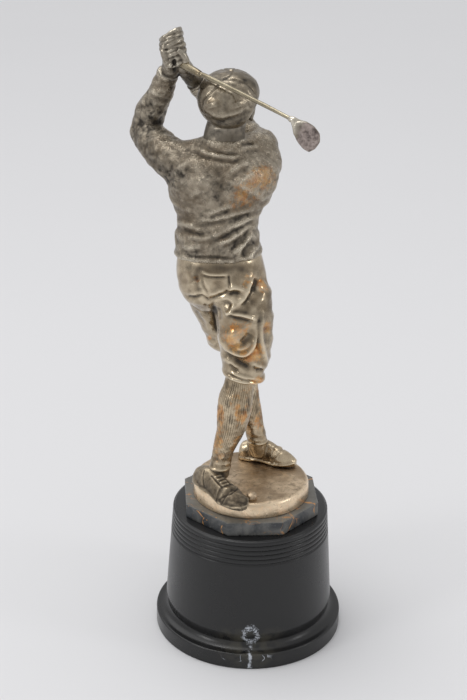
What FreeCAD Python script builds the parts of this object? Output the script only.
"""Figure trophy: a cast golfer on a round cast base, an octagonal stone slab and a moulded plinth.

Frame: +Z up, origin at the centre of the plinth's underside. The figure's chest faces +Y.
Every size is in millimetres. One STEP file is written for each node.
"""
import FreeCAD, Part
import math
import os

from FreeCAD import Vector

# ---------------------------------------------------------------- driving sizes

# Plinth: a hollow compression moulding with a flared foot and a beaded band at its top.
plinth_height = 71.0
foot_radius = 50.0
foot_band_height = 8.8
foot_edge_round = 0.7
foot_shoulder = 1.7          # flat ledge between the foot's edge and the cove
cove_radius = 4.6
body_bottom_radius = 44.9
body_top_radius = 41.0
bead_count = 5
bead_pitch = 2.55
bead_groove = 0.75
top_edge_chamfer = 0.5
plinth_wall = 4.2
plinth_roof = 6.0
plinth_boss_radius = 11.0
plinth_boss_drop = 12.0      # how far the boss hangs below the roof
web_count = 4
web_thickness = 3.0
web_drop = 9.0

# Stone slab between plinth and figure.
slab_across_flats = 69.0
slab_thickness = 7.4
slab_bevel = 0.5
slab_turn = 4.5              # degrees about Z: it was not set square to the figure

# Round cast base under the figure, counterbored underneath for the shoe studs' nuts.
disc_radius = 30.4
disc_thickness = 8.6
disc_edge_round = 0.9
counterbore_radius = 4.2
counterbore_depth = 5.2
ball_radius = 3.0            # golf ball cast in one with the base, beside the right toe
ball_rise = 1.5              # height of its centre over the base
ball_place = (3.0, -24.0)

# Fixings.
tie_rod_radius = 3.0
tie_rod_below_nut = 4.0
tie_rod_bite = 5.0           # how far it screws up into the round base
tie_washer_radius = 9.0
tie_washer_thickness = 1.6
tie_nut_across_flats = 10.0
tie_nut_thickness = 5.0
stud_radius = 1.5
stud_bite = 7.0              # how far it screws up into the shoe
stud_washer_radius = 3.2
stud_washer_thickness = 0.5
stud_nut_across_flats = 5.5
stud_nut_thickness = 2.4
stud_below_nut = 0.6
hole_clearance = 0.25
dowel_clearance = 0.05
waist_dowel = (2.5, 18.0)    # radius, length
neck_dowel = (2.0, 12.0)
shoulder_dowel = (2.0, 12.0)
knee_dowel = (2.0, 12.0)
wrist_dowel = (1.2, 7.0)

# Figure: modelled for the height below, and scaled from it as a sculptor scales a maquette.
figure_height = 217.0        # top of the round base to the crown of the cap
drawn_height = 217.0
scale = figure_height / drawn_height

elbow_radius = 7.9           # at the drawn height, as all the figure's sections are

# Club.
grip_radius = 2.0
shaft_tip_radius = 1.0
club_head_thickness = 5.0
club_socket_depth = 2.5

# ---------------------------------------------------------------- levels

slab_level = plinth_height
disc_level = slab_level + slab_thickness
stand_level = disc_level + disc_thickness


def figure_point(x, y, height):
    """A point of the figure, its height counted from the top of the round base."""
    return Vector(scale * x, scale * y, stand_level + scale * height)


# Landmarks of the pose: a finished swing, weight over the left foot, hands high over the left shoulder.
hem_height = 125.0           # bottom of the jumper
collar_height = 183.0        # flat where the neck sits in the collar
chin_height = 185.5
crown_height = 216.4

left_shoulder = figure_point(-40.0, 3.0, 170.0)
left_elbow = figure_point(-55.6, 24.0, 179.5)
left_wrist = figure_point(-45.0, 13.0, 208.0)
right_shoulder = figure_point(1.6, 5.0, 168.0)
right_elbow = figure_point(-9.5, 35.0, 178.0)
right_wrist = figure_point(-31.0, 17.0, 206.0)
lower_fist = figure_point(-39.6, 6.8, 218.0)
upper_fist = figure_point(-42.2, 9.0, 226.0)
shaft_butt = figure_point(-38.6, 6.4, 217.6)
shaft_tip = figure_point(15.2, -43.0, 204.2)
right_cuff = (-5.0, -5.0, 56.0)
left_cuff = (-14.0, 20.0, 65.5)
right_heel, right_toe = (-26.5, -4.5), (-2.6, -32.6)
left_heel, left_toe = (-5.4, 22.6), (23.2, 12.6)

UP = Vector(0, 0, 1)


# ---------------------------------------------------------------- shape helpers

def unit(vector):
    return Vector(vector).normalize()


def oval(centre, normal, side, half_width, half_front, half_back=None, points=16):
    """A closed smooth wire: half_width to each side, half_front and half_back across it."""
    normal = unit(normal)
    x_axis = unit(side - normal * side.dot(normal))
    y_axis = normal.cross(x_axis)
    half_back = half_front if half_back is None else half_back
    ring = []
    for i in range(points):
        turn = 2 * math.pi * i / points
        across = math.sin(turn)
        depth = half_front if across > 0 else half_back
        ring.append(centre + x_axis * (half_width * math.cos(turn)) + y_axis * (depth * across))
    curve = Part.BSplineCurve()
    curve.interpolate(Points=ring, PeriodicFlag=True)
    return Part.Wire([curve.toShape()])


def level_loft(rows):
    """A solid through level ovals: rows of (x, y, height, half width, half front, half back)."""
    wires = [oval(figure_point(x, y, h), UP, Vector(1, 0, 0), scale * w, scale * front, scale * back)
             for x, y, h, w, front, back in rows]
    return Part.makeLoft(wires, True, False)


def tube(points, radii, side=Vector(1, 0, 0), flat_start=None, flat_end=None):
    """A solid of round sections along points. The end sections may be turned to face a given way."""
    wires = []
    for i, (point, radius) in enumerate(zip(points, radii)):
        before, after = points[max(i - 1, 0)], points[min(i + 1, len(points) - 1)]
        normal = after - before
        if i == 0 and flat_start:
            normal = flat_start
        if i == len(points) - 1 and flat_end:
            normal = flat_end
        wires.append(oval(point, normal, side, scale * radius, scale * radius))
    return Part.makeLoft(wires, True, False)


def knuckle(centre, radius):
    return Part.makeSphere(scale * radius, centre)


def rod(centre, direction, radius, length):
    """A cylinder centred on a point."""
    direction = unit(direction)
    return Part.makeCylinder(radius, length, centre - direction * (length / 2), direction)


def way_out(start, end, casting):
    """The point where the line from start to end leaves a casting."""
    inside = Part.LineSegment(start, end).toShape().common(casting)
    return max((vertex.Point for vertex in inside.Vertexes), key=lambda point: (point - start).Length)


def dowel(place, direction, size):
    """A dowel and the hole that both castings are drilled with for it."""
    radius, length = size
    pin = rod(place, direction, radius, length)
    hole = rod(place, direction, radius + dowel_clearance, length + 1.0)
    return pin, hole


def hex_nut(centre, across_flats, thickness, bore_radius):
    """A hexagon nut whose top face is at centre, with a chamfered foot."""
    corner = across_flats / math.sqrt(3)
    outline = [centre + Vector(corner * math.cos(math.radians(60 * i)),
                               corner * math.sin(math.radians(60 * i)), 0) for i in range(7)]
    prism = Part.Face(Part.makePolygon(outline)).extrude(Vector(0, 0, -thickness))
    foot = Part.makeCone(across_flats / 2, across_flats / 2 + thickness, thickness,
                         centre - Vector(0, 0, thickness), UP)
    bore = Part.makeCylinder(bore_radius, thickness, centre - Vector(0, 0, thickness), UP)
    return prism.common(foot).cut(bore)


def ring(centre, outer, inner, thickness):
    """A flat washer whose top face is at centre."""
    low = centre - Vector(0, 0, thickness)
    return Part.makeCylinder(outer, thickness, low, UP).cut(Part.makeCylinder(inner, thickness, low, UP))


def save(name, *solids):
    """Writes one node, after checking that each of its solids is closed and valid."""
    for solid in solids:
        if not solid.isValid() or solid.Volume <= 0:
            raise ValueError(name + " did not make a valid solid")
    loose = [piece for solid in solids for piece in solid.Solids]
    shape = loose[0] if len(loose) == 1 else Part.makeCompound(loose)
    shape.exportStep(os.path.join("parts", name + ".step"))


# ---------------------------------------------------------------- plinth, slab and round base

def body_radius(height):
    """Radius of the plinth's tapering wall at a height."""
    cove_top = foot_band_height + cove_radius
    share = (height - cove_top) / (plinth_height - cove_top)
    return body_bottom_radius + (body_top_radius - body_bottom_radius) * share


def revolve(edges):
    return Part.Face(Part.Wire(edges)).revolve(Vector(0, 0, 0), UP, 360)


def line(a, b):
    return Part.LineSegment(a, b).toShape()


def bend(a, through, b):
    return Part.Arc(a, through, b).toShape()


def make_plinth():
    """The shell: flared foot, cove, tapering wall, beads, roof, boss and webs."""
    def at(radius, height):
        return Vector(radius, 0, height)

    ledge = foot_radius - foot_edge_round - foot_shoulder
    cove_top = foot_band_height + cove_radius
    wall_foot = body_radius(cove_top)
    cove_middle = at(wall_foot + (ledge - wall_foot) * (1 - math.sqrt(0.5)),
                     foot_band_height + cove_radius * (1 - math.sqrt(0.5)))
    round_middle = at(foot_radius - foot_edge_round * (1 - math.sqrt(0.5)),
                      foot_band_height - foot_edge_round * (1 - math.sqrt(0.5)))
    beads_top = plinth_height - top_edge_chamfer
    beads_foot = beads_top - bead_count * bead_pitch
    edges = [
        line(at(foot_radius - plinth_wall, 0), at(foot_radius, 0)),
        line(at(foot_radius, 0), at(foot_radius, foot_band_height - foot_edge_round)),
        bend(at(foot_radius, foot_band_height - foot_edge_round), round_middle,
             at(foot_radius - foot_edge_round, foot_band_height)),
        line(at(foot_radius - foot_edge_round, foot_band_height), at(ledge, foot_band_height)),
        bend(at(ledge, foot_band_height), cove_middle, at(wall_foot, cove_top)),
        line(at(wall_foot, cove_top), at(body_radius(beads_foot), beads_foot)),
        line(at(body_radius(beads_foot), beads_foot),
             at(body_radius(beads_foot) - bead_groove, beads_foot)),
    ]
    for i in range(bead_count):
        low, high = beads_foot + i * bead_pitch, beads_foot + (i + 1) * bead_pitch
        middle = (low + high) / 2
        edges.append(bend(at(body_radius(low) - bead_groove, low), at(body_radius(middle), middle),
                          at(body_radius(high) - bead_groove, high)))
    lip = body_radius(beads_top) - bead_groove
    roof = plinth_height - plinth_roof
    bore = tie_rod_radius + hole_clearance
    edges += [
        line(at(lip, beads_top), at(lip - top_edge_chamfer, plinth_height)),
        line(at(lip - top_edge_chamfer, plinth_height), at(bore, plinth_height)),
        line(at(bore, plinth_height), at(bore, roof - plinth_boss_drop)),
        line(at(bore, roof - plinth_boss_drop), at(plinth_boss_radius, roof - plinth_boss_drop)),
        line(at(plinth_boss_radius, roof - plinth_boss_drop), at(plinth_boss_radius, roof)),
        line(at(plinth_boss_radius, roof), at(body_radius(roof) - plinth_wall, roof)),
        line(at(body_radius(roof) - plinth_wall, roof),
             at(body_radius(foot_band_height) - plinth_wall, foot_band_height)),
        line(at(body_radius(foot_band_height) - plinth_wall, foot_band_height),
             at(foot_radius - plinth_wall, 0)),
    ]
    shell = revolve(edges)
    reach = body_radius(roof) - plinth_wall / 2
    for i in range(web_count):
        web = Part.makeBox(reach - plinth_boss_radius + 1, web_thickness, web_drop + 1,
                           Vector(plinth_boss_radius - 1, -web_thickness / 2, roof - web_drop))
        web.rotate(Vector(0, 0, 0), UP, (i + 0.5) * 360 / web_count)
        shell = shell.fuse(web)
    return shell.removeSplitter()


def make_slab():
    """An octagon with a narrow bevel round its top edge and a clearance hole for the tie rod."""
    corner = slab_across_flats / 2 / math.cos(math.pi / 8)

    def outline(radius, height):
        turns = [math.radians(slab_turn + 22.5 + 45 * i) for i in range(9)]
        return Part.makePolygon([Vector(radius * math.cos(t), radius * math.sin(t), height) for t in turns])

    low = Part.Face(outline(corner, slab_level)).extrude(Vector(0, 0, slab_thickness - slab_bevel))
    bevel = Part.makeLoft([outline(corner, disc_level - slab_bevel),
                           outline(corner - slab_bevel, disc_level)], True, True)
    hole = Part.makeCylinder(tie_rod_radius + hole_clearance, slab_thickness, Vector(0, 0, slab_level), UP)
    return low.fuse(bevel).removeSplitter().cut(hole)


def foot_direction(heel, toe):
    return unit(Vector(toe[0] - heel[0], toe[1] - heel[1], 0))


def stud_place(heel, toe):
    """Where a shoe's stud goes through the round base: under the instep."""
    share = 0.36
    return Vector(scale * (heel[0] + (toe[0] - heel[0]) * share),
                  scale * (heel[1] + (toe[1] - heel[1]) * share), stand_level)


def make_disc():
    """The round base: tapped for the tie rod, bored for two studs, with the cast golf ball on top."""
    disc = Part.makeCylinder(disc_radius, disc_thickness, Vector(0, 0, disc_level), UP)
    top_edge = [e for e in disc.Edges if abs(e.BoundBox.ZMin - stand_level) < 1e-6
                and abs(e.BoundBox.ZMax - stand_level) < 1e-6]
    disc = disc.makeFillet(disc_edge_round, top_edge)
    ball = Part.makeSphere(ball_radius, Vector(*ball_place, stand_level + ball_rise))
    disc = disc.fuse(ball).removeSplitter()
    disc = disc.cut(Part.makeCylinder(tie_rod_radius, tie_rod_bite, Vector(0, 0, disc_level), UP))
    for heel, toe in ((right_heel, right_toe), (left_heel, left_toe)):
        place = stud_place(heel, toe) - Vector(0, 0, disc_thickness)
        disc = disc.cut(Part.makeCylinder(stud_radius + hole_clearance, disc_thickness, place, UP))
        disc = disc.cut(Part.makeCylinder(counterbore_radius, counterbore_depth, place, UP))
    return disc


# ---------------------------------------------------------------- castings of the figure

def round_rows(rows):
    """Rows of (x, y, height, radius) as the rows that level_loft takes."""
    return [(x, y, height, radius, radius, radius) for x, y, height, radius in rows]


def make_lower_leg(shin, heel, toe):
    """Sock and shoe in one casting: its top is flat in the cuff and its sole flat on the round base."""
    leg = level_loft(round_rows(shin))
    foot_line = foot_direction(heel, toe)
    length = scale * math.hypot(toe[0] - heel[0], toe[1] - heel[1])
    start = Vector(scale * heel[0], scale * heel[1], stand_level)
    wires = []
    for share, half_width, top in ((0.0, 2.2, 6.0), (0.07, 4.4, 8.2), (0.25, 4.9, 9.4), (0.45, 5.0, 8.0),
                                   (0.68, 5.9, 5.6), (0.86, 4.9, 4.2), (0.97, 2.6, 3.0)):
        middle = start + foot_line * (length * share)
        wires.append(oval(middle, foot_line, UP.cross(foot_line),
                          scale * half_width, scale * top, scale * 2))
    shoe = Part.makeLoft(wires, True, False)
    above = Part.makeBox(2 * length, 2 * length, length, start - Vector(length, length, 0))
    return leg.fuse(shoe.common(above)).removeSplitter()


def make_breeches():
    """Seat and both baggy legs, flat at the waist and at each cuff."""
    seat = level_loft([(-16.5, 2.0, 96.0, 15.0, 9.0, 9.0), (-16.5, 1.5, 102.0, 20.0, 15.0, 15.0),
                       (-16.8, 1.0, 112.0, 22.6, 16.5, 17.5), (-18.0, 1.0, hem_height, 20.8, 15.0, 15.5)])
    right = level_loft(round_rows([(-9.0, -2.0, 114.0, 13.0), (-6.2, -3.5, 101.0, 15.4),
                                   (-5.4, -4.0, 88.0, 15.0), (-4.5, -4.0, 74.0, 13.4),
                                   (-4.6, -4.6, 64.0, 12.2), (*right_cuff, 10.2)]))
    left = level_loft(round_rows([(-26.0, 6.0, 112.0, 12.4), (-22.5, 10.0, 99.0, 12.8),
                                  (-17.8, 15.0, 84.0, 12.6), (-14.0, 19.0, 72.0, 11.4), (*left_cuff, 9.8)]))
    return seat.fuse([right, left]).removeSplitter()


def make_torso():
    """The jumper's body: flat at the hem and flat in the collar."""
    return level_loft([(-18.5, 1.0, hem_height, 20.8, 15.2, 15.7), (-19.6, 1.0, 132.0, 21.0, 15.5, 16.0),
                       (-19.4, 1.0, 140.0, 19.4, 14.0, 14.5), (-18.8, 0.5, 150.0, 23.0, 15.5, 15.0),
                       (-17.2, 0.0, 161.0, 27.5, 16.5, 16.0), (-17.2, 0.5, 170.0, 27.0, 15.0, 15.5),
                       (-17.2, 1.0, 176.0, 20.5, 12.0, 13.0), (-16.8, 1.2, 180.0, 12.0, 10.0, 10.5),
                       (-16.5, 1.5, collar_height, 9.6, 9.4, 9.6)])


def make_arm(shoulder, elbow, wrist, root, hand):
    """A sleeve from inside the shoulder to the wrist, bent at the elbow."""
    upper = tube([root, shoulder, (shoulder + elbow) / 2, elbow], [10.5, 10.4, 9.2, 7.6],
                 side=Vector(0.1, 0.2, 1))
    lower = tube([elbow, (elbow + wrist) / 2, wrist], [7.5, 7.2, 5.2], side=Vector(1, 0.3, 0),
                 flat_end=hand - wrist)
    return upper.fuse(lower).fuse(knuckle(elbow, elbow_radius)).removeSplitter()


def make_head():
    """Neck, head and cap in one casting, the cap's peak over the brow."""
    middle_x, middle_y = -14.7, 2.0
    neck = level_loft([(-16.5, 1.5, collar_height, 7.4, 7.4, 7.4),
                       (-15.8, 2.0, collar_height + 6, 7.0, 7.2, 7.2),
                       (-15.0, 2.5, collar_height + 12, 7.4, 7.6, 8.4)])
    skull = level_loft([(middle_x, middle_y + 7.0, chin_height, 3.6, 3.6, 3.6),
                        (middle_x, middle_y + 3.5, chin_height + 4, 7.6, 8.6, 7.6),
                        (middle_x, middle_y + 0.5, chin_height + 10, 10.0, 12.0, 10.8),
                        (middle_x, middle_y, chin_height + 17, 10.6, 12.2, 12.0),
                        (middle_x, middle_y, chin_height + 24, 9.4, 10.4, 10.6)])
    cap = level_loft([(middle_x, middle_y - 1.0, 193.0, 11.8, 12.8, 11.6),
                      (middle_x, middle_y - 1.0, 198.0, 14.2, 15.0, 14.2),
                      (middle_x + 0.2, middle_y - 1.0, 203.5, 15.0, 16.0, 15.4),
                      (middle_x + 0.6, middle_y, 210.0, 12.4, 13.6, 12.6),
                      (middle_x + 0.8, middle_y, 214.2, 7.6, 8.4, 7.4),
                      (middle_x + 0.9, middle_y, crown_height, 2.0, 2.4, 2.0)])
    peak = level_loft([(middle_x, middle_y + 9.5, 197.0, 9.0, 8.5, 4.0),
                       (middle_x, middle_y + 9.5, 198.8, 9.4, 9.0, 4.0)])
    return neck.fuse([skull, cap, peak]).removeSplitter()


def make_hands(arms, shaft):
    """Both fists on the grip, coped over the wrists and bored for the shaft."""
    along = unit(upper_fist - lower_fist)
    side = Vector(1, 0, 0)
    low, high = lower_fist - along * (scale * 8.0), upper_fist + along * (scale * 6.5)
    rows = [(low, 4.2, 4.6), (lower_fist, 6.0, 7.0), ((lower_fist + upper_fist) / 2, 5.8, 7.2),
            (upper_fist, 5.8, 6.8), (high, 3.2, 4.0)]
    fists = Part.makeLoft([oval(p, along, side, scale * w, scale * d) for p, w, d in rows], True, False)
    inner = lower_fist
    for wrist in (left_wrist, right_wrist):
        bridge = tube([wrist, (wrist + inner) / 2, inner], [5.2, 5.0, 4.4], flat_start=inner - wrist)
        fists = fists.fuse(bridge)
    for arm in arms:
        fists = fists.cut(arm)
    return fists.cut(shaft).removeSplitter()


def make_shaft():
    along = unit(shaft_tip - shaft_butt)
    length = (shaft_tip - shaft_butt).Length
    return Part.makeCone(grip_radius, shaft_tip_radius, length, shaft_butt, along)


def make_club_head(shaft):
    """A wooden driver's head: a flat sole, a rounded back and a socket for the shaft's tip."""
    along = unit(Vector(0.70, -0.14, -0.72))
    sole = unit(Vector(-0.1, -1.0, 0.2))
    across = sole.cross(along)
    sole = along.cross(across)
    neck = shaft_tip - unit(shaft_tip - shaft_butt) * club_socket_depth
    rows = [(0.0, 1.7, 0.68, 0.0), (2.6, 2.0, 0.8, 0.0), (6.0, 4.2, 0.96, -0.4), (9.5, 5.6, 1.0, -0.6),
            (13.5, 5.4, 1.0, -0.4), (17.0, 3.4, 0.88, 0.2), (18.6, 1.2, 0.4, 0.4)]
    wires = [oval(neck + along * (scale * reach) + across * (scale * shift), along, across,
                  scale * half_width, fullness * club_head_thickness / 2)
             for reach, half_width, fullness, shift in rows]
    return Part.makeLoft(wires, True, False).cut(shaft)


# ---------------------------------------------------------------- build every node

def main():
    os.makedirs("parts", exist_ok=True)
    save("plinth", make_plinth())
    save("marble_slab", make_slab())
    save("figure_disc", make_disc())

    # Tie rod, washer and nut that clamp the round base and the slab down on the plinth.
    washer_level = plinth_height - plinth_roof - plinth_boss_drop
    nut_level = washer_level - tie_washer_thickness
    rod_foot = nut_level - tie_nut_thickness - tie_rod_below_nut
    save("tie_rod", Part.makeCylinder(tie_rod_radius, disc_level + tie_rod_bite - rod_foot,
                                      Vector(0, 0, rod_foot), UP))
    save("tie_washer", ring(Vector(0, 0, washer_level), tie_washer_radius,
                            tie_rod_radius + hole_clearance, tie_washer_thickness))
    nut_place = Vector(0, 0, nut_level)
    save("tie_nut", hex_nut(nut_place, tie_nut_across_flats, tie_nut_thickness, tie_rod_radius))

    # Shoe studs, with a washer and nut each in the counterbores under the round base.
    skin = disc_thickness - counterbore_depth
    studs, washers, nuts = [], [], []
    for heel, toe in ((right_heel, right_toe), (left_heel, left_toe)):
        under = stud_place(heel, toe) - Vector(0, 0, skin)
        reach = stud_washer_thickness + stud_nut_thickness + stud_below_nut
        foot = under - Vector(0, 0, reach)
        studs.append(Part.makeCylinder(stud_radius, reach + skin + stud_bite, foot, UP))
        washers.append(ring(under, stud_washer_radius, stud_radius + hole_clearance, stud_washer_thickness))
        nuts.append(hex_nut(under - Vector(0, 0, stud_washer_thickness), stud_nut_across_flats,
                            stud_nut_thickness, stud_radius))
    save("shoe_studs", *studs)
    save("stud_washers", *washers)
    save("stud_nuts", *nuts)

    # Lower legs, breeches and the dowels between them.
    breeches = make_breeches()
    right_shin = [(*right_cuff, 7.6), (-7.6, -7.6, 47.0, 8.3), (-10.0, -9.0, 40.0, 8.4),
                  (-13.6, -10.0, 26.0, 6.4), (-17.0, -10.0, 14.0, 5.8), (-18.0, -10.5, 4.0, 6.0)]
    left_shin = [(*left_cuff, 7.4), (-9.0, 19.6, 52.0, 8.0), (-4.4, 18.6, 38.0, 7.8),
                 (1.2, 17.4, 22.0, 5.8), (3.6, 17.2, 12.0, 5.4), (3.8, 17.6, 4.0, 5.4)]
    legs = {}
    knee_pins = []
    for name, cuff, shin, heel, toe in (
            ("right_lower_leg", right_cuff, right_shin, right_heel, right_toe),
            ("left_lower_leg", left_cuff, left_shin, left_heel, left_toe)):
        leg = make_lower_leg(shin, heel, toe)
        pin, hole = dowel(figure_point(*cuff), UP, knee_dowel)
        knee_pins.append(pin)
        breeches = breeches.cut(hole)
        stud = Part.makeCylinder(stud_radius, stud_bite, stud_place(heel, toe), UP)
        legs[name] = leg.cut(hole).cut(stud)
    for name, leg in legs.items():
        save(name, leg)
    save("knee_dowels", *knee_pins)

    # Torso, its waist and neck dowels, and the head.
    waist = figure_point(-18.5, 1.0, hem_height)
    neck = figure_point(-16.5, 1.5, collar_height)
    waist_pin, waist_hole = dowel(waist, UP, waist_dowel)
    neck_pin, neck_hole = dowel(neck, UP, neck_dowel)
    torso = make_torso()
    head = make_head().cut(neck_hole)

    # Arms, coped to the torso and the cap, with a dowel through each shoulder.
    left_root, right_root = figure_point(-29.0, 1.0, 166.5), figure_point(-9.0, 0.5, 163.0)
    left_arm = make_arm(left_shoulder, left_elbow, left_wrist, left_root, lower_fist)
    right_arm = make_arm(right_shoulder, right_elbow, right_wrist, right_root, lower_fist)
    left_arm, right_arm = (arm.cut(torso).cut(head) for arm in (left_arm, right_arm))
    left_arm, right_arm = (max(arm.Solids, key=lambda s: s.Volume) for arm in (left_arm, right_arm))
    shoulder_pins = []
    holes = []
    for shoulder, elbow in ((left_shoulder, left_elbow), (right_shoulder, right_elbow)):
        pin, hole = dowel(way_out(shoulder, elbow, torso), elbow - shoulder, shoulder_dowel)
        shoulder_pins.append(pin)
        holes.append(hole)
    torso = torso.cut(waist_hole).cut(neck_hole).cut(holes[0]).cut(holes[1])
    left_arm = left_arm.cut(holes[0])
    right_arm = right_arm.cut(holes[1])
    breeches = breeches.cut(waist_hole)

    # Club and hands.
    shaft = make_shaft()
    hands = make_hands((left_arm, right_arm), shaft)
    wrist_pins = []
    for wrist in (left_wrist, right_wrist):
        pin, hole = dowel(wrist, lower_fist - wrist, wrist_dowel)
        wrist_pins.append(pin.cut(shaft))
        hands = hands.cut(hole)
        left_arm = left_arm.cut(hole)
        right_arm = right_arm.cut(hole)

    save("breeches", breeches)
    save("torso", torso)
    save("head", head)
    save("left_arm", left_arm)
    save("right_arm", right_arm)
    save("hands", hands)
    save("club_shaft", shaft)
    save("club_head", make_club_head(shaft))
    save("waist_dowel", waist_pin)
    save("neck_dowel", neck_pin)
    save("shoulder_dowels", *shoulder_pins)
    save("wrist_dowels", *wrist_pins)


main()
